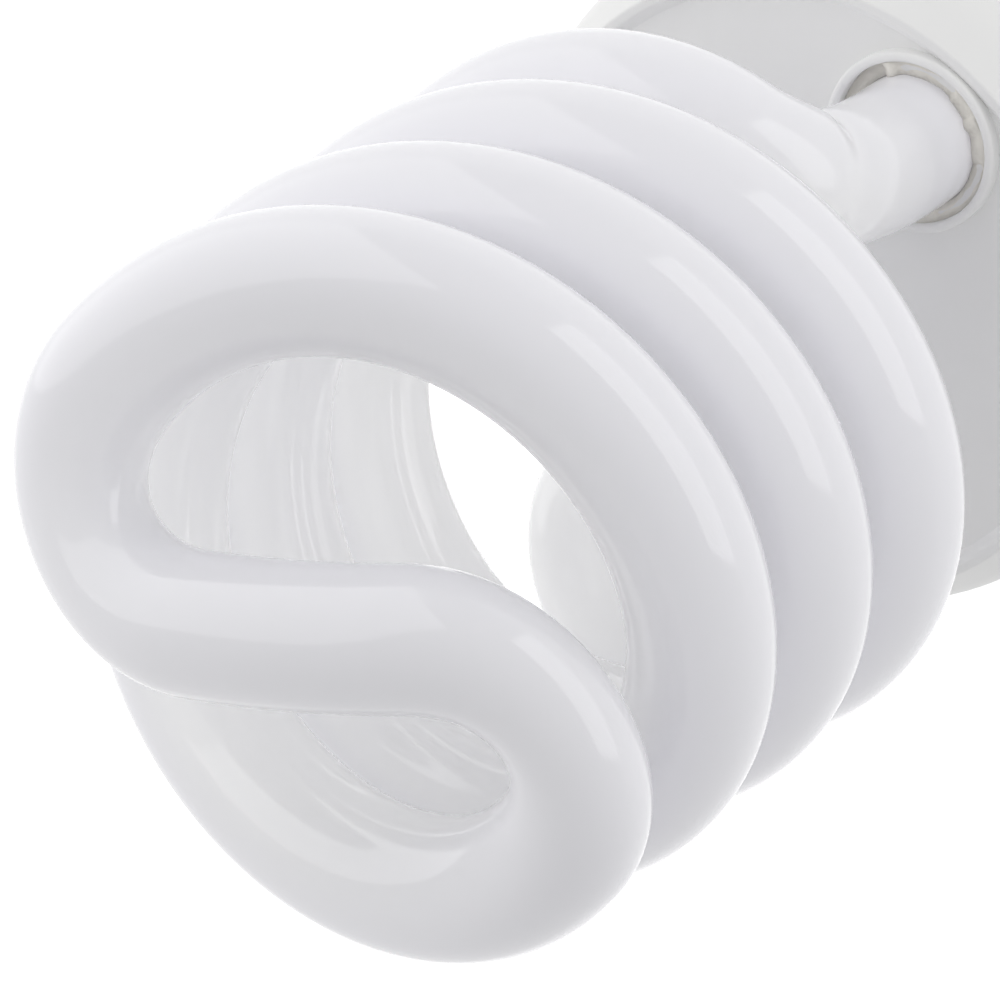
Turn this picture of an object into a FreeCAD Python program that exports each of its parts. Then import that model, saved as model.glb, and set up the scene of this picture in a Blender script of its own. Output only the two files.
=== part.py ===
import FreeCAD, Part
import math
import os
from types import SimpleNamespace

import Sketcher
from FreeCAD import Vector

# Spiral energy saving bulb, in millimetres.
# The lamp axis is Z with the tip of the spiral at the top.
# The origin is on the axis at the rim of the screw shell, where the lamp seats in its holder.

# Driving sizes, each written once
driving = {
    # spiral tube
    "tube_radius": 6.0,
    "coil_overhang": 0.6,  # outside of the coil beyond the outside of the housing
    "coil_pitch": 30.8,  # rise of one of the two helices in a full turn
    "coil_turn": 626.0,  # degrees from the tip end of a helix round to its leg
    "coil_rise": 20.5,  # plate floor to the level where a helix would reach its leg
    "bridge_bend": 11.1,  # bends of the S that joins the helices across the tip
    "bridge_rise": 6.6,  # rise of the S from the helix ends to the axis
    "draw_angle": 50.0,  # degrees over which a helix draws in before its elbow
    "draw_in_a": 0.5,
    "draw_in_b": 3.1,
    "elbow_lead_a": 32.2,  # degrees from the end of a helix to its leg
    "elbow_lead_b": 19.6,
    "elbow_fall_a": 9.1,  # end of a helix down to the top of its leg
    "elbow_fall_b": 20.0,
    "leg_depth": 8.0,  # plate floor to the lower end of a leg
    # plate that holds the tube
    "plate_wall": 2.0,
    "plate_rise": 12.0,  # housing edge to plate floor
    "shoulder_width": 3.6,  # outside of the housing to the lip
    "shoulder_fall": 3.4,  # plate floor to the corner of the shoulder
    "shoulder_bend": 7.0,
    "lip_height": 0.9,
    "lip_width": 0.8,
    "lip_round": 0.35,
    "lip_slope": 0.9,  # width of the inside slope of the lip
    "skirt_depth": 5.0,
    "skirt_wall": 1.3,
    "collar_gap": 0.4,  # collar to lip
    "collar_room": 1.3,  # tube to collar
    "collar_wall": 0.9,
    "collar_height": 1.3,
    "collar_round": 0.4,
    "shelf_span": 65.0,  # degrees of one shelf of a collar
    "shelf_height": 1.6,
    "shelf_sink": 0.9,  # top of the collar to its shelves
    "leg_clearance": 0.3,
    "cement_height": 4.0,
    # ballast housing
    "housing_radius": 31.4,
    "housing_height": 46.0,
    "housing_wall": 2.0,
    "housing_bend": 9.0,
    "foot_overhang": 1.7,  # foot of the housing beyond the screw shell
    "foot_height": 5.0,
    "foot_bend": 5.0,
    "neck_length": 10.0,
    "neck_wall": 1.8,
    "ledge_width": 1.7,
    "ledge_height": 4.4,
    "fit_clearance": 0.2,
    # screw cap
    "shell_radius": 13.1,
    "shell_wall": 0.5,
    "shell_length": 23.0,
    "shell_taper": 3.6,
    "insulator_radius": 9.4,
    "insulator_height": 2.8,
    "insulator_sink": 2.0,
    "contact_radius": 4.8,
    "contact_height": 1.4,
    "contact_face": 3.4,
    # circuit board and what hangs from it, an inset being the distance from the ledge
    "board_room": 1.0,  # skirt of the plate to the board
    "board_wall": 1.6,
    "lead_radius": 0.4,
    "lead_spread": 2.6,  # leg axis to each of its two leads
    "seat_gap": 0.1,
    "choke_inset": 13.9,
    "choke_length": 16.0,
    "choke_width": 5.0,
    "choke_height": 12.0,
    "choke_limb": 3.0,
    "winding_overhang": 3.0,
    "storage_y": 5.0,
    "storage_radius": 6.2,
    "storage_height": 24.0,
    "resonant_inset": 12.8,
    "resonant_length": 11.0,
    "resonant_width": 5.0,
    "resonant_height": 10.0,
    "coupling_inset": 12.3,
    "coupling_length": 10.0,
    "coupling_width": 4.0,
    "coupling_height": 9.0,
    "transistor_inset": 9.4,
    "transistor_length": 7.6,
    "transistor_width": 2.8,
    "transistor_height": 11.0,
    "toroid_inset": 5.3,
    "toroid_radius": 4.6,
    "toroid_bore": 2.4,
    "toroid_height": 5.0,
    "filter_inset": 13.3,
    "filter_radius": 4.0,
    "filter_height": 10.0,
    "diode_inset": 6.7,
    "diode_y": -10.0,
    "diode_radius": 1.4,
    "diode_length": 5.2,
    "diode_step": 5.0,
    "live_x": 2.4,
    "live_y": -2.9,
    "fuse_radius": 2.0,
    "fuse_length": 10.0,
    "fuse_level": -8.0,
    "neutral_gap": 3.1,  # neck to the upright run of the neutral lead
}
shelf_angles = (-8, 112, 232)  # degrees about a leg, from the outward direction
diode_count = 4
# directions from the lamp axis to what hangs under the board, in degrees
choke_way = 229
resonant_way = 20
coupling_way = 158
transistor_way = 64
toroid_way = -60
filter_way = -34
draw_steps = 3  # arc pairs where a helix draws in
helix_steps = 10
bridge_steps = 4
nudge = 1e-4  # step along a curve that gives its direction
tolerance = 1e-4

doc = FreeCAD.newDocument("spiral_lamp")
sheet = doc.addObject("Spreadsheet::Sheet", "sizes")
for row, (name, value) in enumerate(driving.items(), start=1):
    sheet.set("A%d" % row, name)
    sheet.set("B%d" % row, str(value))
    sheet.setAlias("B%d" % row, name)
doc.recompute()


# A size keeps its number together with the sheet expression that gives it
class Size:
    def __init__(self, text, value):
        self.text = text
        self.value = value

    def joined(self, sign, other, value):
        return Size("(%s %s %s)" % (self.text, sign, other.text), value)

    def __add__(self, other):
        other = as_size(other)
        return self.joined("+", other, self.value + other.value)

    def __sub__(self, other):
        other = as_size(other)
        return self.joined("-", other, self.value - other.value)

    def __mul__(self, other):
        other = as_size(other)
        return self.joined("*", other, self.value * other.value)

    def __truediv__(self, other):
        other = as_size(other)
        return self.joined("/", other, self.value / other.value)

    def __neg__(self):
        return as_size(0) - self


def as_size(number):
    return number if isinstance(number, Size) else Size(repr(number), number)


size = SimpleNamespace(**{name: Size("sizes." + name, sheet.get(name)) for name in driving})


def bind(thing, **properties):
    for name, amount in properties.items():
        thing.setExpression(name.replace("__", "."), as_size(amount).text)


def put(thing, x=0, y=0, level=0):
    bind(thing, Placement__Base__x=x, Placement__Base__y=y, Placement__Base__z=level)


def box(label, x, y, level, length, width, height):
    # a block centred on x, y, with its underside at the level
    thing = doc.addObject("Part::Box", label)
    bind(thing, Length=length, Width=width, Height=height)
    put(thing, x - length / 2, y - width / 2, level)
    return thing


def rod(label, x, y, level, radius, height):
    # an upright cylinder with its lower end at the level
    thing = doc.addObject("Part::Cylinder", label)
    bind(thing, Radius=radius, Height=height)
    put(thing, x, y, level)
    return thing


def cut(label, base, tool):
    thing = doc.addObject("Part::Cut", label)
    thing.Base = base
    thing.Tool = tool
    return thing


def fuse(label, *pieces):
    thing = doc.addObject("Part::MultiFuse", label)
    thing.Shapes = list(pieces)
    thing.Refine = True
    return thing


def turned(label, outline):
    # a body of revolution about its own Z axis, its outline a ring of (radius, level) corners
    body = doc.addObject("PartDesign::Body", label)
    sketch = body.newObject("Sketcher::SketchObject", label + "_outline")
    planes = {plane.Role: plane for plane in body.Origin.OriginFeatures}
    sketch.AttachmentSupport = (planes["XZ_Plane"], [""])
    sketch.MapMode = "FlatFace"
    corners = [(as_size(radius), as_size(level)) for radius, level in outline]
    count = len(corners)
    for near, far in zip(corners, corners[1:] + corners[:1]):
        start = Vector(near[0].value, near[1].value, 0)
        stop = Vector(far[0].value, far[1].value, 0)
        sketch.addGeometry(Part.LineSegment(start, stop))
    for side in range(count):
        sketch.addConstraint(Sketcher.Constraint("Coincident", side, 2, (side + 1) % count, 1))
    for side, corner in enumerate(corners):
        for kind, amount in zip(("DistanceX", "DistanceY"), corner):
            index = sketch.addConstraint(Sketcher.Constraint(kind, -1, 1, side, 1, amount.value))
            sketch.setExpression("Constraints[%d]" % index, amount.text)
    revolution = body.newObject("PartDesign::Revolution", label + "_turn")
    revolution.Profile = sketch
    revolution.ReferenceAxis = (sketch, ["V_Axis"])
    revolution.Angle = 360
    doc.recompute()
    return body


def rounded(body, radius, *corners):
    # rounds the circular edges of a turned body at the given (radius, level) corners
    base = body.Tip
    places = [(as_size(reach).value, as_size(level).value) for reach, level in corners]
    names = []
    for number, edge in enumerate(base.Shape.Edges, start=1):
        if not isinstance(edge.Curve, Part.Circle):
            continue
        for reach, level in places:
            apart = math.hypot(edge.Curve.Radius - reach, edge.Curve.Center.z - level)
            if apart < tolerance:
                names.append("Edge%d" % number)
    fillet = body.newObject("PartDesign::Fillet", body.Label + "_round_" + str(len(body.Group)))
    fillet.Base = (base, names)
    bind(fillet, Radius=radius)
    body.Tip = fillet
    doc.recompute()
    return body


# Levels and fits that several pieces share
coil_radius = size.housing_radius + size.coil_overhang - size.tube_radius
plate_level = size.housing_height + size.plate_rise  # the plate's floor
plate_under = plate_level - size.plate_wall
tip_level = plate_level + size.coil_rise + size.coil_pitch * size.coil_turn / 360
leg_end = plate_level - size.leg_depth
lip_radius = size.housing_radius - size.shoulder_width
collar_bore = size.tube_radius + size.collar_room
collar_radius = collar_bore + size.collar_wall
collar_top = plate_level + size.collar_height
leg_offset = lip_radius - size.collar_gap - collar_radius
cavity_radius = size.housing_radius - size.housing_wall
ledge_radius = cavity_radius - size.ledge_width
shell_bore = size.shell_radius - size.shell_wall
neck_radius = shell_bore - size.fit_clearance
neck_bore = neck_radius - size.neck_wall
board_top = size.housing_height - size.skirt_depth - size.board_room
board_level = board_top - size.board_wall
taper_top = board_level - size.ledge_height
sides = (("a", 1), ("b", -1))  # leg a on +X, leg b on -X
nodes = []


# Spiral tube: its centre line is a chain of tangent arcs
def unit(vector):
    return Vector(vector).normalize()


def helix_point(angle, end, draw_in):
    # angle in degrees, from minus the end of the helix up to zero at the tip
    drawn = max(size.draw_angle.value - end - angle, 0) / size.draw_angle.value
    radius = coil_radius.value - draw_in * drawn ** 2
    turn = math.radians(angle)
    level = size.coil_pitch.value * turn / math.tau
    return Vector(radius * math.cos(turn), radius * math.sin(turn), level)


def bridge_point(share):
    # share of the way from a helix end to the lamp axis, round a bend and along a straight run
    bend = size.bridge_bend.value
    reach = coil_radius.value - bend
    turn = math.pi / 2 + math.asin(bend / reach)
    run = math.sqrt(reach ** 2 - bend ** 2)
    length = bend * turn + run
    angle = min(share * length / bend, turn)
    left = 1 - max(share * length - bend * turn, 0) / run
    x = (reach + bend * math.cos(angle)) * left
    y = bend * math.sin(angle) * left
    # the climb starts at the slope of the helix and is level on the axis
    slope = size.coil_pitch.value / (math.tau * coil_radius.value)
    climb = slope * length * share * (1 - share) ** 2
    rise = size.bridge_rise.value * share ** 2 * (3 - 2 * share)
    return Vector(x, y, climb + rise)


def stations(curve, places):
    # points of a curve with their directions
    for place in places:
        yield curve(place), unit(curve(place + nudge) - curve(place - nudge))


def arc_through(start, corner, stop):
    # the arc that leaves start and reaches stop along the two equal sides of a corner
    half = (corner - start).getAngle(stop - corner) / 2
    weight = 2 * math.cos(half)
    middle = (start + corner * weight + stop) * (1 / (2 + weight))
    return Part.Arc(start, middle, stop).toShape()


def two_arcs(start, heading, stop, arrival):
    # a pair of tangent arcs between two stations
    across = stop - start
    square = 2 * (1 - heading.dot(arrival))
    linear = 2 * across.dot(heading + arrival)
    side = (math.sqrt(linear ** 2 + 4 * square * across.dot(across)) - linear) / (2 * square)
    first = start + heading * side
    second = stop - arrival * side
    joint = (first + second) / 2
    return [arc_through(start, first, joint), arc_through(joint, second, stop)]


def half_tube(lead, fall, draw_in):
    # leg, elbow, helix and half of the S, from the foot of the leg to the lamp axis
    end = size.coil_turn.value - lead.value
    drawn_from = size.draw_angle.value - end
    angles = [-end + size.draw_angle.value * step / draw_steps for step in range(draw_steps)]
    angles += [drawn_from * (1 - step / helix_steps) for step in range(helix_steps + 1)]
    shares = [(step + 1) / bridge_steps for step in range(bridge_steps)]
    places = list(stations(lambda angle: helix_point(angle, end, draw_in.value), angles))
    places += stations(bridge_point, shares)
    leg_turn = math.radians(-size.coil_turn.value)
    leg_x = leg_offset.value * math.cos(leg_turn)
    leg_y = leg_offset.value * math.sin(leg_turn)
    leg_top = Vector(leg_x, leg_y, places[0][0].z - fall.value)
    leg_foot = Vector(leg_x, leg_y, leg_end.value - tip_level.value)
    places.insert(0, (leg_top, upward))
    edges = [Part.makeLine(leg_foot, leg_top)]
    for (start, heading), (stop, arrival) in zip(places, places[1:]):
        edges += two_arcs(start, heading, stop, arrival)
    return edges


def tube_centre_line():
    edges = half_tube(size.elbow_lead_a, size.elbow_fall_a, size.draw_in_a)
    for edge in half_tube(size.elbow_lead_b, size.elbow_fall_b, size.draw_in_b):
        edges.append(edge.rotated(Vector(), upward, 180))
    wire = Part.Wire(Part.__sortEdges__(edges))
    # legs onto the X axis, tip to its level
    wire.rotate(Vector(), upward, size.coil_turn.value)
    wire.translate(upward * tip_level.value)
    return wire


upward = Vector(0, 0, 1)
tube_path = doc.addObject("Part::Feature", "tube_path")
tube_path.Shape = tube_centre_line()
tube_section = doc.addObject("Part::Circle", "tube_section")
bind(tube_section, Radius=size.tube_radius)
put(tube_section, leg_offset, 0, leg_end)
spiral_tube = doc.addObject("Part::Sweep", "spiral_tube")
spiral_tube.Sections = [tube_section]
spiral_tube.Spine = (tube_path, ["Edge%d" % (n + 1) for n in range(len(tube_path.Shape.Edges))])
spiral_tube.Solid = True
spiral_tube.Frenet = True
nodes.append(spiral_tube)

# Tube plate: a disc with a lip, a shoulder and a skirt, and a collar with shelves round each leg
skirt_radius = cavity_radius - size.fit_clearance
skirt_bore = skirt_radius - size.skirt_wall
skirt_level = size.housing_height - size.skirt_depth
lip_level = plate_level + size.lip_height
lip_edge = lip_radius + size.lip_width
shoulder_level = plate_level - size.shoulder_fall
plate_disc = turned("plate_disc", [
    (0, plate_level),
    (lip_radius - size.lip_slope, plate_level),
    (lip_radius, lip_level),
    (lip_edge, lip_level),
    (size.housing_radius, shoulder_level),
    (size.housing_radius, size.housing_height),
    (skirt_radius, size.housing_height),
    (skirt_radius, skirt_level),
    (skirt_bore, skirt_level),
    (skirt_bore, plate_under),
    (0, plate_under),
])
rounded(plate_disc, size.lip_round, (lip_radius, lip_level), (lip_edge, lip_level))
rounded(plate_disc, size.shoulder_bend, (size.housing_radius, shoulder_level))
shelf_bore = size.tube_radius + size.leg_clearance
shelf_level = collar_top - size.shelf_sink - size.shelf_height
plate_pieces = []
bores = []
for side, sign in sides:
    centre = leg_offset * sign
    bores.append(rod("bore_" + side, centre, 0, leg_end, collar_bore, collar_top - leg_end))
    collar = turned("collar_" + side, [
        (collar_bore, leg_end),
        (collar_radius, leg_end),
        (collar_radius, collar_top),
        (collar_bore, collar_top),
    ])
    rounded(collar, size.collar_round, (collar_radius, collar_top), (collar_bore, collar_top))
    put(collar, centre)
    sectors = []
    for number, angle in enumerate(shelf_angles, start=1):
        reach = collar_bore + size.collar_wall / 2
        sector = rod("shelf_%s_%d" % (side, number), centre, 0, shelf_level, reach, size.shelf_height)
        outward = angle if sign > 0 else angle + 180
        bind(sector, Angle=size.shelf_span, Placement__Rotation__Angle=outward)
        sectors.append(sector)
    shelf_space = rod("shelf_bore_" + side, centre, 0, shelf_level, shelf_bore, size.shelf_height)
    shelves = cut("shelves_" + side, fuse("shelf_sectors_" + side, *sectors), shelf_space)
    plate_pieces += [collar, shelves]
plate_bored = cut("plate_bored", plate_disc, fuse("plate_bores", *bores))
nodes.append(fuse("tube_plate", plate_bored, *plate_pieces))

# Cement rings under the shelves, between each leg and its collar
cement_top = shelf_level - size.seat_gap
cement_level = cement_top - size.cement_height
for side, sign in sides:
    ring = turned("leg_cement_" + side, [
        (size.tube_radius + size.seat_gap, cement_level),
        (collar_bore - size.seat_gap, cement_level),
        (collar_bore - size.seat_gap, cement_top),
        (size.tube_radius + size.seat_gap, cement_top),
    ])
    put(ring, leg_offset * sign)
    nodes.append(ring)

# Ballast housing: a shell that tapers to the neck inside the screw shell
foot_radius = size.shell_radius + size.foot_overhang
housing = turned("ballast_housing", [
    (neck_bore, -size.neck_length),
    (neck_radius, -size.neck_length),
    (neck_radius, 0),
    (foot_radius, 0),
    (foot_radius, size.foot_height),
    (size.housing_radius, taper_top),
    (size.housing_radius, size.housing_height),
    (cavity_radius, size.housing_height),
    (cavity_radius, board_level),
    (ledge_radius, board_level),
    (ledge_radius, taper_top),
    (neck_bore, size.foot_height + size.housing_wall),
])
rounded(housing, size.housing_bend, (size.housing_radius, taper_top))
rounded(housing, size.foot_bend, (foot_radius, size.foot_height))
nodes.append(housing)

# Screw cap: shell, insulator and centre contact
shell_foot = -size.shell_length
taper_foot = size.shell_taper - size.shell_length
nodes.append(turned("screw_shell", [
    (shell_bore, 0),
    (size.shell_radius, 0),
    (size.shell_radius, taper_foot),
    (size.insulator_radius + size.shell_wall, shell_foot),
    (size.insulator_radius, shell_foot),
    (size.insulator_radius, shell_foot + size.shell_wall),
    (shell_bore, taper_foot),
]))
contact_level = shell_foot - size.insulator_height
insulator = turned("insulator_disc", [
    (0, contact_level),
    (size.contact_radius, contact_level),
    (size.insulator_radius - size.fit_clearance, shell_foot),
    (size.insulator_radius - size.fit_clearance, shell_foot + size.insulator_sink),
    (0, shell_foot + size.insulator_sink),
])
lead_hole_radius = size.lead_radius + size.fit_clearance
lead_hole = rod(
    "lead_hole", size.live_x, size.live_y, contact_level, lead_hole_radius, size.insulator_height + size.insulator_sink
)
nodes.append(cut("cap_insulator", insulator, lead_hole))
contact = turned("centre_contact", [
    (0, contact_level - size.contact_height),
    (size.contact_face, contact_level - size.contact_height),
    (size.contact_radius, contact_level),
    (0, contact_level),
])
nodes.append(contact)

# Circuit board on the housing's ledge
board_radius = cavity_radius - size.fit_clearance
nodes.append(rod("circuit_board", 0, 0, board_level, board_radius, size.board_wall))


# Parts that hang from the underside of the board
def under_board(way, inset):
    reach = ledge_radius - inset
    return reach * math.cos(math.radians(way)), reach * math.sin(math.radians(way))


def hung_block(label, place, length, width, height):
    return box(label, *place, board_level - height, length, width, height)


def hung_rod(label, place, radius, height):
    return rod(label, *place, board_level - height, radius, height)


choke_x, choke_y = choke_place = under_board(choke_way, size.choke_inset)
window_length = (size.choke_length - size.choke_limb * 3) / 2
window_height = size.choke_height - size.choke_limb * 2
window_level = board_level - size.choke_height + size.choke_limb
window_shift = (window_length + size.choke_limb) / 2
windows = []
for number, sign in enumerate((-1, 1), start=1):
    windows.append(box(
        "choke_window_%d" % number, choke_x + window_shift * sign, choke_y, window_level,
        window_length, size.choke_width, window_height,
    ))
choke_block = hung_block(
    "choke_block", choke_place, size.choke_length, size.choke_width, size.choke_height
)
nodes.append(cut("choke_core", choke_block, fuse("choke_windows", *windows)))
winding_length = size.choke_limb + window_length * 2 - size.seat_gap * 2
winding_width = size.choke_width + size.winding_overhang * 2
winding_block = box(
    "winding_block", choke_x, choke_y, window_level + size.seat_gap, winding_length, winding_width,
    window_height - size.seat_gap * 2,
)
limb_space = box(
    "limb_space", choke_x, choke_y, window_level, size.choke_limb + size.seat_gap * 2,
    size.choke_width + size.seat_gap * 2, window_height,
)
nodes.append(cut("choke_winding", winding_block, limb_space))
nodes.append(hung_rod(
    "storage_capacitor", (as_size(0), size.storage_y), size.storage_radius, size.storage_height
))
nodes.append(hung_block(
    "resonant_capacitor", under_board(resonant_way, size.resonant_inset), size.resonant_width,
    size.resonant_length, size.resonant_height,
))
nodes.append(hung_block(
    "coupling_capacitor", under_board(coupling_way, size.coupling_inset), size.coupling_width,
    size.coupling_length, size.coupling_height,
))
for label, way in (("transistor_upper", 180 - transistor_way), ("transistor_lower", transistor_way)):
    nodes.append(hung_block(
        label, under_board(way, size.transistor_inset), size.transistor_length,
        size.transistor_width, size.transistor_height,
    ))
toroid_level = board_level - size.toroid_height
toroid = turned("drive_toroid", [
    (size.toroid_bore, toroid_level),
    (size.toroid_radius, toroid_level),
    (size.toroid_radius, board_level),
    (size.toroid_bore, board_level),
])
put(toroid, *under_board(toroid_way, size.toroid_inset))
nodes.append(toroid)
filter_place = under_board(filter_way, size.filter_inset)
nodes.append(hung_rod("filter_choke", filter_place, size.filter_radius, size.filter_height))
diode_level = board_level - size.seat_gap - size.diode_radius
for number in range(diode_count):
    diode = doc.addObject("Part::Cylinder", "rectifier_diode_%d" % (number + 1))
    bind(diode, Radius=size.diode_radius, Height=size.diode_length)
    diode.Placement.Rotation = FreeCAD.Rotation(Vector(0, 1, 0), 90)
    diode_x = ledge_radius - size.diode_inset - size.diode_length / 2
    put(diode, diode_x, size.diode_y + size.diode_step * number, diode_level)
    nodes.append(diode)

# Leads between the cap, the board and the tube
fuse_top = size.fuse_level + size.fuse_length
nodes.append(rod("fuse_resistor", size.live_x, size.live_y, size.fuse_level, size.fuse_radius, size.fuse_length))
nodes.append(rod(
    "live_lead", size.live_x, size.live_y, contact_level, size.lead_radius, size.fuse_level - contact_level
))
nodes.append(rod(
    "fuse_lead", size.live_x, size.live_y, fuse_top, size.lead_radius, board_level - fuse_top
))
neutral_level = -size.neck_length - size.lead_radius * 2
neutral_reach = neck_bore - size.neutral_gap
neutral_upright = rod(
    "neutral_upright", -neutral_reach, 0, neutral_level, size.lead_radius, board_level - neutral_level
)
neutral_foot = doc.addObject("Part::Cylinder", "neutral_foot")
bind(neutral_foot, Radius=size.lead_radius, Height=shell_bore - neutral_reach - size.seat_gap)
neutral_foot.Placement.Rotation = FreeCAD.Rotation(Vector(0, 1, 0), -90)
put(neutral_foot, -neutral_reach, 0, neutral_level + size.lead_radius / 2)
nodes.append(fuse("neutral_lead", neutral_upright, neutral_foot))
lead_number = 0
for side, sign in sides:
    for spread in (-1, 1):
        lead_number += 1
        nodes.append(rod(
            "filament_lead_%d" % lead_number, leg_offset * sign, size.lead_spread * spread, board_top,
            size.lead_radius, leg_end - board_top,
        ))

doc.recompute()

# Every object is sound before anything is written
for thing in doc.Objects:
    if "Invalid" in thing.State or "Error" in thing.State:
        raise RuntimeError("%s did not build: %s" % (thing.Label, thing.State))
for node in nodes:
    shape = node.Shape
    if shape.isNull() or not shape.isValid() or len(shape.Solids) != 1:
        raise RuntimeError("%s is not one valid solid" % node.Label)
swept = math.pi * size.tube_radius.value ** 2 * tube_path.Shape.Length
print("tube volume %.0f, section times length %.0f" % (spiral_tube.Shape.Volume, swept))

os.makedirs("parts", exist_ok=True)
for node in nodes:
    node.Shape.exportStep(os.path.join("parts", node.Label + ".step"))
print("%d nodes written" % len(nodes))
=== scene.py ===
import math

import bmesh
import bpy
from mathutils import Euler, Matrix, Vector, noise


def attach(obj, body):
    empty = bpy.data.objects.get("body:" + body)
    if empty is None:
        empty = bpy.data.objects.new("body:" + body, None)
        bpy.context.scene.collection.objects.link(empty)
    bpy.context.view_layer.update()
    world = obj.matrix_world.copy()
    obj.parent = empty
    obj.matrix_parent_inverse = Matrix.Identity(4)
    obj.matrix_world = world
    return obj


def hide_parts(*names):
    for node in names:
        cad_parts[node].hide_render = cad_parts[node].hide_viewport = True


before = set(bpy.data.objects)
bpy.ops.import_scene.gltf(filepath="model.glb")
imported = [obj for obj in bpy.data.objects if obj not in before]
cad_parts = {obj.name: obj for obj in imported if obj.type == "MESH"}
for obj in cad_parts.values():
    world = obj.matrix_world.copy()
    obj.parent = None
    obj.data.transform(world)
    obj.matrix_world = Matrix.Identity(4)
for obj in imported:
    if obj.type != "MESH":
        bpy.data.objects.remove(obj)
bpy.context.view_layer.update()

axisZ = Vector((0, 0, 1))
origin = Vector()
mergeGap = 1e-6  # points closer than this are one
print("frame loaded,", len(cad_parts), "nodes")


# small helpers for node trees
def newMaterial(name):
    material = bpy.data.materials.new(name)
    material.use_nodes = True
    tree = material.node_tree
    return material, tree, tree.nodes["Principled BSDF"]


def addNode(tree, kind, **inputs):
    node = tree.nodes.new(kind)
    for key, value in inputs.items():
        node.inputs[key].default_value = value
    return node


def mathNode(tree, operation, first, second):
    node = tree.nodes.new("ShaderNodeMath")
    node.operation = operation
    tree.links.new(first, node.inputs[0])
    tree.links.new(second, node.inputs[1])
    return node.outputs[0]


def mapRange(tree, source, span, values):
    ramp = tree.nodes.new("ShaderNodeMapRange")
    ramp.inputs["From Min"].default_value, ramp.inputs["From Max"].default_value = span
    ramp.inputs["To Min"].default_value, ramp.inputs["To Max"].default_value = values
    tree.links.new(source, ramp.inputs["Value"])
    return ramp.outputs["Result"]


def tint(tree, source, first, second):
    mix = tree.nodes.new("ShaderNodeMix")
    mix.data_type = "RGBA"
    mix.inputs["A"].default_value = (*first, 1)
    mix.inputs["B"].default_value = (*second, 1)
    tree.links.new(source, mix.inputs["Factor"])
    return mix.outputs["Result"]


def objectCoords(tree, scale):
    coords = tree.nodes.new("ShaderNodeTexCoord")
    mapping = addNode(tree, "ShaderNodeMapping", Scale=scale)
    tree.links.new(coords.outputs["Object"], mapping.inputs["Vector"])
    return mapping.outputs["Vector"]


def objectNoise(tree, look, scale):
    clouds = addNode(tree, "ShaderNodeTexNoise", Scale=scale, Detail=look["octaves"])
    tree.links.new(objectCoords(tree, look["stretch"]), clouds.inputs["Vector"])
    return clouds.outputs["Fac"]


def objectRange(tree, axes, span, values):
    # a value that changes with the distance from the axis or with the level
    distance = tree.nodes.new("ShaderNodeVectorMath")
    distance.operation = "LENGTH"
    tree.links.new(objectCoords(tree, axes), distance.inputs[0])
    return mapRange(tree, distance.outputs["Value"], span, values)


plainLook = {"octaves": 3, "stretch": (1, 1, 1), "metal": 0, "ior": 1.5}  # unless a finish says otherwise
noiseSpan = (0.3, 0.7)  # where most of a noise's values lie


def finishMaterial(name, ownLook):
    # one noise drives the colour and roughness, a finer one the bump
    look = {**plainLook, **ownLook}
    material, tree, shader = newMaterial(name)
    cloud = objectNoise(tree, look, look["cloudScale"])
    tree.links.new(tint(tree, cloud, look["colour"], look["colourTwo"]), shader.inputs["Base Color"])
    tree.links.new(mapRange(tree, cloud, noiseSpan, look["roughness"]), shader.inputs["Roughness"])
    bump = addNode(tree, "ShaderNodeBump", Strength=look["bump"], Distance=look["grainDepth"])
    tree.links.new(objectNoise(tree, look, look["grainScale"]), bump.inputs["Height"])
    tree.links.new(bump.outputs["Normal"], shader.inputs["Normal"])
    shader.inputs["Metallic"].default_value = look["metal"]
    shader.inputs["IOR"].default_value = look["ior"]
    if "depth" in look:  # light passes through where the shares below, multiplied, leave it
        shader.inputs["Subsurface Radius"].default_value = (1, 1, 1)
        shader.inputs["Subsurface Scale"].default_value = look["depth"]
        share, *fades = [objectRange(tree, *place) for place in look["clear"]]
        for fade in fades:
            share = mathNode(tree, "MULTIPLY", share, fade)
        tree.links.new(share, shader.inputs["Subsurface Weight"])
    return material


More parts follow.
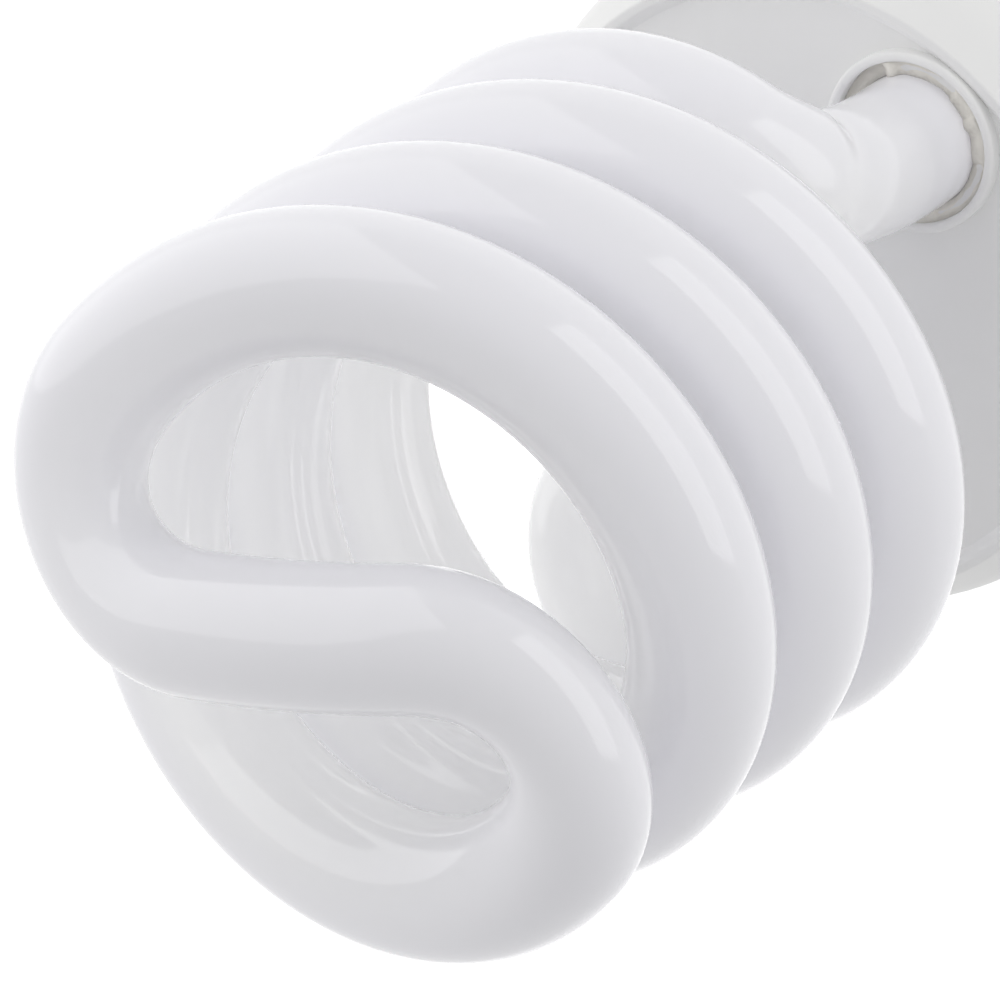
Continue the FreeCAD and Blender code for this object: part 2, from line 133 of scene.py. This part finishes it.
looks = {
    "opalGlass": {
        "colour": (0.935, 0.93, 0.975), "colourTwo": (0.945, 0.94, 0.98), "cloudScale": 30,
        "roughness": (0.07, 0.1), "grainScale": 90, "bump": 0.02, "grainDepth": 0.0003, "ior": 1.65,
        "depth": 0.1, "octaves": 0,
        "clear": (  # axes, from and to, shares there
            ((1, 1, 0), (0.024, 0.029), (1, 0.1)),  # most on the coil's inner side
            ((0, 0, 1), (0.060, 0.080), (0, 1)),  # none at the legs' feet
            ((0, 0, 1), (0.130, 0.138), (1, 0.3)),  # little at the tip
        ),
    },
    "whitePlastic": {
        "colour": (0.89, 0.89, 0.885), "colourTwo": (0.91, 0.91, 0.905), "cloudScale": 60,
        "roughness": (0.42, 0.5), "grainScale": 2600, "bump": 0.06, "grainDepth": 0.0001,
    },
    "legCement": {
        "colour": (0.90, 0.87, 0.80), "colourTwo": (0.95, 0.93, 0.87), "cloudScale": 400,
        "roughness": (0.8, 0.95), "grainScale": 1500, "bump": 0.5, "grainDepth": 0.0002,
    },
    "capMetal": {
        "colour": (0.50, 0.49, 0.465), "colourTwo": (0.60, 0.585, 0.555), "cloudScale": 80,
        "roughness": (0.2, 0.32), "grainScale": 900, "bump": 0.05, "grainDepth": 0.0001, "metal": 1,
        "stretch": (1, 1, 6),
    },
    "blackInsulator": {
        "colour": (0.012, 0.012, 0.015), "colourTwo": (0.03, 0.03, 0.034), "cloudScale": 250,
        "roughness": (0.12, 0.22), "grainScale": 700, "bump": 0.12, "grainDepth": 0.0002,
    },
    "contactMetal": {
        "colour": (0.70, 0.68, 0.62), "colourTwo": (0.80, 0.78, 0.72), "cloudScale": 300,
        "roughness": (0.25, 0.42), "grainScale": 1200, "bump": 0.15, "grainDepth": 0.0001, "metal": 1,
    },
    "boardLaminate": {
        "colour": (0.55, 0.38, 0.20), "colourTwo": (0.66, 0.48, 0.28), "cloudScale": 200,
        "roughness": (0.5, 0.65), "grainScale": 1800, "bump": 0.2, "grainDepth": 0.0001,
    },
    "ferrite": {
        "colour": (0.06, 0.06, 0.065), "colourTwo": (0.11, 0.11, 0.115), "cloudScale": 500,
        "roughness": (0.6, 0.75), "grainScale": 2400, "bump": 0.3, "grainDepth": 0.0001,
    },
    "copperWire": {
        "colour": (0.55, 0.24, 0.10), "colourTwo": (0.70, 0.34, 0.16), "cloudScale": 400,
        "roughness": (0.25, 0.4), "grainScale": 1500, "bump": 0.2, "grainDepth": 0.0001, "metal": 1,
        "stretch": (1, 1, 8),
    },
    "blackSleeve": {
        "colour": (0.02, 0.02, 0.024), "colourTwo": (0.05, 0.05, 0.055), "cloudScale": 200,
        "roughness": (0.3, 0.4), "grainScale": 900, "bump": 0.1, "grainDepth": 0.0001,
    },
    "filmCapacitor": {
        "colour": (0.36, 0.09, 0.04), "colourTwo": (0.46, 0.13, 0.06), "cloudScale": 250,
        "roughness": (0.2, 0.3), "grainScale": 800, "bump": 0.1, "grainDepth": 0.0002,
    },
    "blackResin": {
        "colour": (0.03, 0.03, 0.03), "colourTwo": (0.06, 0.06, 0.06), "cloudScale": 400,
        "roughness": (0.5, 0.65), "grainScale": 2200, "bump": 0.2, "grainDepth": 0.0001,
    },
    "resistorBody": {
        "colour": (0.36, 0.48, 0.55), "colourTwo": (0.46, 0.57, 0.62), "cloudScale": 400,
        "roughness": (0.4, 0.5), "grainScale": 1600, "bump": 0.15, "grainDepth": 0.0001,
    },
    "tinnedWire": {
        "colour": (0.62, 0.62, 0.62), "colourTwo": (0.74, 0.74, 0.73), "cloudScale": 500,
        "roughness": (0.25, 0.4), "grainScale": 1500, "bump": 0.1, "grainDepth": 0.0001, "metal": 1,
    },
}
finishes = {name: finishMaterial(name, look) for name, look in looks.items()}
print("finishes made:", len(finishes))


# small helpers for pieces
def newObject(name, data):
    thing = bpy.data.objects.new(name, data)
    bpy.context.scene.collection.objects.link(thing)
    return thing


def keepPiece(name, mesh, finish, slot, *nodes):
    mesh.materials.append(finishes[finish])
    piece = newObject(name, mesh)
    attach(piece, "root")
    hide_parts(*nodes)


def meshFrom(name, bm):
    for face in bm.faces:
        face.smooth = True
    mesh = bpy.data.meshes.new(name)
    bm.to_mesh(mesh)
    bm.free()
    return mesh


def closeSeams(bm):
    bmesh.ops.remove_doubles(bm, verts=bm.verts, dist=mergeGap)
    bmesh.ops.recalc_face_normals(bm, faces=bm.faces)


# spiral tube, along the same centre line as the solid
tube = {
    "radius": 0.00599, "coilRadius": 0.026, "pitch": 0.0308, "turn": 626.0,  # degrees, tip to leg
    "coilFoot": 0.0785, "legOffset": 0.0192, "legFoot": 0.050, "bridgeBend": 0.0111, "bridgeRise": 0.0066,
    "drawAngle": 50.0,  # degrees over which a helix is drawn in
    "ends": (
        {"lead": 32.2, "fall": 0.0091, "drawIn": 0.0005, "crease": 1, "creaseDepth": 0},
        {"lead": 19.6, "fall": 0.0200, "drawIn": 0.0031, "crease": 1.22, "creaseDepth": 0.13},
    ),
    "creaseWidth": 0.0016,
    "bendPinch": 0.12,  # share of its width that the tube loses in the tight bends
    "helixStep": 3.5, "bridgeSteps": 50, "elbowSteps": 36, "legSteps": 4, "sides": 128,
}
tipLevel = tube["coilFoot"] + tube["pitch"] * tube["turn"] / 360


def helixPoint(angle, end, drawIn):
    drawn = max(tube["drawAngle"] - end - angle, 0) / tube["drawAngle"]
    radius = tube["coilRadius"] - drawIn * drawn ** 2
    turn = math.radians(angle)
    return Vector((radius * math.cos(turn), radius * math.sin(turn), tube["pitch"] * turn / math.tau))


def bridgePoint(share):
    # from a helix end, round a bend and along a straight run to the axis
    bend = tube["bridgeBend"]
    reach = tube["coilRadius"] - bend
    turn = math.pi / 2 + math.asin(bend / reach)
    run = math.sqrt(reach ** 2 - bend ** 2)
    length = bend * turn + run
    angle = min(share * length / bend, turn)
    left = 1 - max(share * length - bend * turn, 0) / run
    # the glass is drawn thinner round the bend, on its inner side
    pinch = tube["bendPinch"] * math.sin(math.pi * min(share * length / (bend * turn), 1)) ** 2
    wide = bend + pinch * tube["radius"]
    x = (reach + wide * math.cos(angle)) * left
    y = wide * math.sin(angle) * left
    slope = tube["pitch"] / (math.tau * tube["coilRadius"])
    climb = slope * length * share * (1 - share) ** 2
    rise = tube["bridgeRise"] * share ** 2 * (3 - 2 * share)
    return Vector((x, y, climb + rise)), 1 - pinch


def arcPoint(start, corner, stop, share):
    weight = 2 * math.cos((corner - start).angle(stop - corner) / 2) * share * (1 - share)
    total = start * (1 - share) ** 2 + corner * weight + stop * share ** 2
    return total / ((1 - share) ** 2 + weight + share ** 2)


def elbowPoints(start, heading, stop, arrival, count):
    # a pair of tangent arcs
    across = stop - start
    square = 2 * (1 - heading.dot(arrival))
    linear = 2 * across.dot(heading + arrival)
    side = (math.sqrt(linear ** 2 + 4 * square * across.dot(across)) - linear) / (2 * square)
    first, second = start + heading * side, stop - arrival * side
    joint = (first + second) / 2
    points = [arcPoint(start, first, joint, n / count) for n in range(count)]
    return points + [arcPoint(joint, second, stop, n / count) for n in range(count)]


def creasedWidth(point, fold, depth):
    # the glass folds in a little where the leg meets the coil
    return 1 - depth * math.exp(-((point - fold).length / tube["creaseWidth"]) ** 2)


def halfLine(end):
    # points of one half with the share of full width, from the leg's foot to the axis
    helixEnd = tube["turn"] - end["lead"]
    count = round(helixEnd / tube["helixStep"])
    helix = [helixPoint(-helixEnd * (1 - n / count), helixEnd, end["drawIn"]) for n in range(count)]
    heading = (helix[1] - helix[0]).normalized()
    legTurn = math.radians(-tube["turn"])
    leg = Vector((math.cos(legTurn), math.sin(legTurn), 0)) * tube["legOffset"]
    legTop = leg + axisZ * (helix[0].z - end["fall"])
    legFoot = leg + axisZ * (tube["legFoot"] - tipLevel)
    line = [legFoot.lerp(legTop, n / tube["legSteps"]) for n in range(tube["legSteps"])]
    elbow = elbowPoints(legTop, axisZ, helix[0], heading, tube["elbowSteps"])
    fold = elbow[round(end["crease"] * tube["elbowSteps"])]
    points = [(point, creasedWidth(point, fold, end["creaseDepth"])) for point in line + elbow + helix]
    return points + [bridgePoint(n / tube["bridgeSteps"]) for n in range(tube["bridgeSteps"])]


def tubeMesh():
    first, second = (halfLine(end) for end in tube["ends"])
    halfTurn = Matrix.Rotation(math.pi, 3, "Z")
    points = first + [bridgePoint(1)] + [(halfTurn @ point, wide) for point, wide in reversed(second)]
    place = Matrix.Translation(axisZ * tipLevel) @ Matrix.Rotation(math.radians(tube["turn"]), 4, "Z")
    bpy.ops.curve.primitive_bezier_circle_add(radius=tube["radius"])
    section = bpy.context.object
    section.data.resolution_u = tube["sides"] // len(section.data.splines[0].bezier_points)
    curve = bpy.data.curves.new("tubeLine", "CURVE")
    curve.dimensions = "3D"
    curve.bevel_mode = "OBJECT"
    curve.bevel_object = section
    curve.use_fill_caps = True
    spline = curve.splines.new("POLY")
    spline.points.add(len(points) - 1)
    for spot, (point, wide) in zip(spline.points, points):
        spot.co = (*(place @ point), 1)
        spot.radius = wide
    holder = newObject("tubeLine", curve)
    mesh = bpy.data.meshes.new_from_object(holder.evaluated_get(bpy.context.evaluated_depsgraph_get()))
    bpy.data.objects.remove(holder)
    bpy.data.objects.remove(section)
    bm = bmesh.new()
    bm.from_mesh(mesh)
    bpy.data.meshes.remove(mesh)
    closeSeams(bm)
    return meshFrom("spiralTube", bm)


keepPiece("spiralTube", tubeMesh(), "opalGlass", "opal_glass", "spiral_tube")
print("spiral tube made")


# cement round each leg, filled up to the collar's shelves
cement = {
    "inner": 0.00602, "outer": 0.00728, "foot": 0.0527, "top": 0.0589, "steps": 240,
    "dip": 0.0003,  # how far the ring's middle lies below its rims
    "rises": (  # from and to in degrees about leg b, with the level there
        (239, 293, 0.0580), (229, 235, 0.0592), (176, 228, 0.0586), (146, 154, 0.0592), (56, 117, 0.0586),
    ),
    "edge": 4.0, "ripple": 0.00018, "rippleScale": 900,
}


def cementLevel(vert):
    angle = math.degrees(math.atan2(vert.co.y, vert.co.x)) % 360
    level = cement["top"]
    for start, stop, rise in cement["rises"]:
        within = min(angle - start, stop - angle) + cement["edge"] / 2
        level += (rise - cement["top"]) * min(max(within / cement["edge"], 0), 1)
    return level + cement["ripple"] * noise.noise(vert.co * cement["rippleScale"])


def cementRing(name, side):
    inner, outer, foot, top = (cement[size] for size in ("inner", "outer", "foot", "top"))
    low = top - cement["dip"]
    profile = [
        (inner, foot), (outer, foot), (outer, top), ((inner + outer) / 2, low), (inner, top), (inner, foot),
    ]
    bm = bmesh.new()
    verts = [bm.verts.new((radius, 0, level)) for radius, level in profile]
    edges = [bm.edges.new(pair) for pair in zip(verts, verts[1:])]
    bmesh.ops.spin(bm, geom=verts + edges, cent=origin, axis=axisZ, angle=math.tau, steps=cement["steps"],
                   use_merge=True)
    closeSeams(bm)
    for vert in bm.verts:
        if vert.co.z > low - mergeGap:
            vert.co.z += cementLevel(vert) - top
    bmesh.ops.translate(bm, verts=bm.verts, vec=(-tube["legOffset"], 0, 0))
    if side == "a":
        bmesh.ops.rotate(bm, verts=bm.verts, cent=origin, matrix=Matrix.Rotation(math.pi, 3, "Z"))
    keepPiece(name, meshFrom(name, bm), "legCement", "cement", "leg_cement_" + side)


cementRing("legCementA", "a")
cementRing("legCementB", "b")
print("leg cement made")


# screw shell with its rolled thread
shell = {
    "crest": 0.0131, "root": 0.01228, "pitch": 0.00362, "threadTop": -0.0022, "threadFoot": -0.0178,
    "rimRings": ((0.0127, -0.0015), (0.01305, -0.0011), (0.01305, -0.0002), (0.0129, 0), (0.0126, 0)),
    "footRings": ((0.0124, -0.0187), (0.0121, -0.0194), (0.0113, -0.0207), (0.0101, -0.0223),
                  (0.0096, -0.0229), (0.0093, -0.023)),
    "turns": 6, "turnsBelow": 1.5,  # cut off at the thread's foot and top
    "steps": 144, "pitchPoints": 16, "wall": 0.0004,
}


def threadLine(n):
    wave = math.cos(math.tau * n / shell["pitchPoints"])
    radius = (shell["crest"] + shell["root"]) / 2 + (shell["crest"] - shell["root"]) / 2 * wave
    return radius, 0, shell["threadFoot"] - shell["pitch"] * (shell["turnsBelow"] - n / shell["pitchPoints"])


def drawLoop(bm, loop, radius, level):
    drawn = bmesh.ops.extrude_edge_only(bm, edges=loop)["geom"]
    verts = [part for part in drawn if isinstance(part, bmesh.types.BMVert)]
    for vert in verts:
        vert.co = vert.co.xy.normalized().to_3d() * radius + axisZ * level
    edges = [part for part in drawn if isinstance(part, bmesh.types.BMEdge)]
    return [edge for edge in edges if all(vert in verts for vert in edge.verts)]


def shellMesh():
    bm = bmesh.new()
    verts = [bm.verts.new(threadLine(n)) for n in range(shell["turns"] * shell["pitchPoints"] + 1)]
    edges = [bm.edges.new(pair) for pair in zip(verts, verts[1:])]
    bmesh.ops.spin(bm, geom=verts + edges, cent=origin, axis=axisZ, angle=math.tau, steps=shell["steps"],
                   dvec=axisZ * shell["pitch"] / shell["steps"])
    bmesh.ops.remove_doubles(bm, verts=bm.verts, dist=mergeGap)
    for level, rings, upper in ((shell["threadTop"], shell["rimRings"], True),
                                (shell["threadFoot"], shell["footRings"], False)):
        whole = bm.verts[:] + bm.edges[:] + bm.faces[:]
        bmesh.ops.bisect_plane(bm, geom=whole, plane_co=axisZ * level, plane_no=axisZ, clear_outer=upper,
                               clear_inner=not upper)
        bmesh.ops.remove_doubles(bm, verts=bm.verts, dist=mergeGap)
        rim = [edge for edge in bm.edges if edge.is_boundary]
        loop = [edge for edge in rim if all(abs(vert.co.z - level) < mergeGap for vert in edge.verts)]
        for radius, ringLevel in rings:
            loop = drawLoop(bm, loop, radius, ringLevel)
    bmesh.ops.recalc_face_normals(bm, faces=bm.faces)
    bmesh.ops.solidify(bm, geom=bm.faces[:], thickness=shell["wall"])
    return meshFrom("screwShell", bm)


keepPiece("screwShell", shellMesh(), "capMetal", "cap_metal", "screw_shell")
print("screw shell made")


# the other pieces keep the solids' shapes, and are found by how their names start
nodeFinishes = {
    "tube_plate": "whitePlastic", "ballast_housing": "whitePlastic",
    "cap_insulator": "blackInsulator", "centre_contact": "contactMetal",
    "circuit_board": "boardLaminate", "choke_core": "ferrite", "choke_winding": "copperWire",
    "storage_capacitor": "blackSleeve", "resonant_capacitor": "filmCapacitor",
    "coupling_capacitor": "filmCapacitor", "transistor": "blackResin", "drive_toroid": "ferrite",
    "filter_choke": "blackSleeve", "rectifier_diode": "blackResin", "fuse_resistor": "resistorBody",
    "live_lead": "tinnedWire", "fuse_lead": "tinnedWire", "neutral_lead": "tinnedWire",
    "filament_lead": "tinnedWire",
}
for nodeName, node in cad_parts.items():
    for nameStart, finish in nodeFinishes.items():
        if nodeName.startswith(nameStart):
            node.data.materials.clear()
            node.data.materials.append(finishes[finish])
print("solids finished")


# studio: floor, world, lamps and camera
studio = {
    "floorLevel": -0.0272, "floorSize": 6.0, "floorColour": (0.9, 0.9, 0.9, 1), "floorRoughness": 1,
    "floorLift": 0.52, "worldLight": (1, 1, 1, 1), "worldStrength": 0.52, "backdrop": (1, 1, 1, 1),
    "coilMiddle": (0, 0, 0.1),
    "lamps": {  # angles in degrees about the coil's middle
        "leftBox": {"turn": 255, "climb": 12, "distance": 0.37, "shift": (0.085, 0.08), "roll": 26,
                    "size": (0.6, 0.8), "watts": 0.96},
        "rightBox": {"turn": 150, "climb": -8, "distance": 0.35, "shift": (0, 0), "roll": 0,
                     "size": (0.47, 0.26), "watts": 0.4},
        "backBox": {"turn": 345, "climb": 0, "distance": 0.25, "shift": (0, 0), "roll": 0,
                    "size": (0.4, 0.16), "watts": 0.2, "diffuseOnly": True},
    },
}


def seenRays(tree):
    # 1 on camera, glossy and transmission rays
    path = tree.nodes.new("ShaderNodeLightPath")
    most = path.outputs["Is Camera Ray"]
    for ray in ("Is Glossy Ray", "Is Transmission Ray"):
        most = mathNode(tree, "MAXIMUM", most, path.outputs[ray])
    return most


def whiteFloor(tree, shaderOutput):
    # the lit floor is lifted to white, and keeps the shadow
    glow = tree.nodes.new("ShaderNodeEmission")
    lift = mapRange(tree, seenRays(tree), (0, 1), (0, studio["floorLift"]))
    tree.links.new(lift, glow.inputs["Strength"])
    both = tree.nodes.new("ShaderNodeAddShader")
    tree.links.new(shaderOutput, both.inputs[0])
    tree.links.new(glow.outputs[0], both.inputs[1])
    return both.outputs[0]


def whiteWorld(tree, shaderOutput):
    white = addNode(tree, "ShaderNodeBackground", Color=studio["backdrop"], Strength=1)
    mix = tree.nodes.new("ShaderNodeMixShader")
    tree.links.new(seenRays(tree), mix.inputs["Fac"])
    tree.links.new(shaderOutput, mix.inputs[1])
    tree.links.new(white.outputs[0], mix.inputs[2])
    return mix.outputs[0]


def makeFloor():
    bm = bmesh.new()
    bmesh.ops.create_grid(bm, x_segments=1, y_segments=1, size=studio["floorSize"] / 2)
    bmesh.ops.translate(bm, verts=bm.verts, vec=axisZ * studio["floorLevel"])
    floor = newObject("floor", meshFrom("floor", bm))
    material, tree, shader = newMaterial("floorWhite")
    shader.inputs["Base Color"].default_value = studio["floorColour"]
    shader.inputs["Roughness"].default_value = studio["floorRoughness"]
    output = tree.nodes["Material Output"]
    tree.links.new(whiteFloor(tree, shader.outputs[0]), output.inputs["Surface"])
    floor.data.materials.append(material)


def makeWorld():
    world = bpy.data.worlds.new("studioWorld")
    bpy.context.scene.world = world
    world.use_nodes = True
    tree = world.node_tree
    light = tree.nodes["Background"]
    light.inputs["Color"].default_value = studio["worldLight"]
    light.inputs["Strength"].default_value = studio["worldStrength"]
    output = tree.nodes["World Output"]
    tree.links.new(whiteWorld(tree, light.outputs[0]), output.inputs["Surface"])


def makeLamp(name, lamp):
    light = bpy.data.lights.new(name, "AREA")
    light.shape = "RECTANGLE"
    light.size, light.size_y = lamp["size"]
    light.energy = lamp["watts"]
    holder = newObject(name, light)
    holder.visible_camera = False
    holder.visible_glossy = not lamp.get("diffuseOnly", False)
    turn = Matrix.Rotation(math.radians(lamp["turn"] + 90), 4, "Z")
    climb = Matrix.Rotation(math.radians(90 - lamp["climb"]), 4, "X")
    roll = Matrix.Rotation(math.radians(lamp["roll"]), 4, "Z")
    away = Matrix.Translation((*lamp["shift"], lamp["distance"]))
    holder.matrix_world = Matrix.Translation(studio["coilMiddle"]) @ turn @ climb @ away @ roll


makeFloor()
makeWorld()
for lampName, lamp in studio["lamps"].items():
    makeLamp(lampName, lamp)

view = {
    "location": (-0.36575, 0.09864, 0.55786), "turn": (-25.504, 32.101, 123.05), "lens": 258.63,
    "sensor": 36, "clipStart": 0.01,
}
camera = bpy.data.cameras.new("photoView")
camera.sensor_width = view["sensor"]
camera.lens = view["lens"]
camera.clip_start = view["clipStart"]
cameraHolder = newObject("photoView", camera)
cameraHolder.location = view["location"]
cameraHolder.rotation_euler = Euler([math.radians(angle) for angle in view["turn"]], "XYZ")
bpy.context.scene.camera = cameraHolder
bpy.context.scene.view_settings.view_transform = "Standard"
print("studio and camera set")
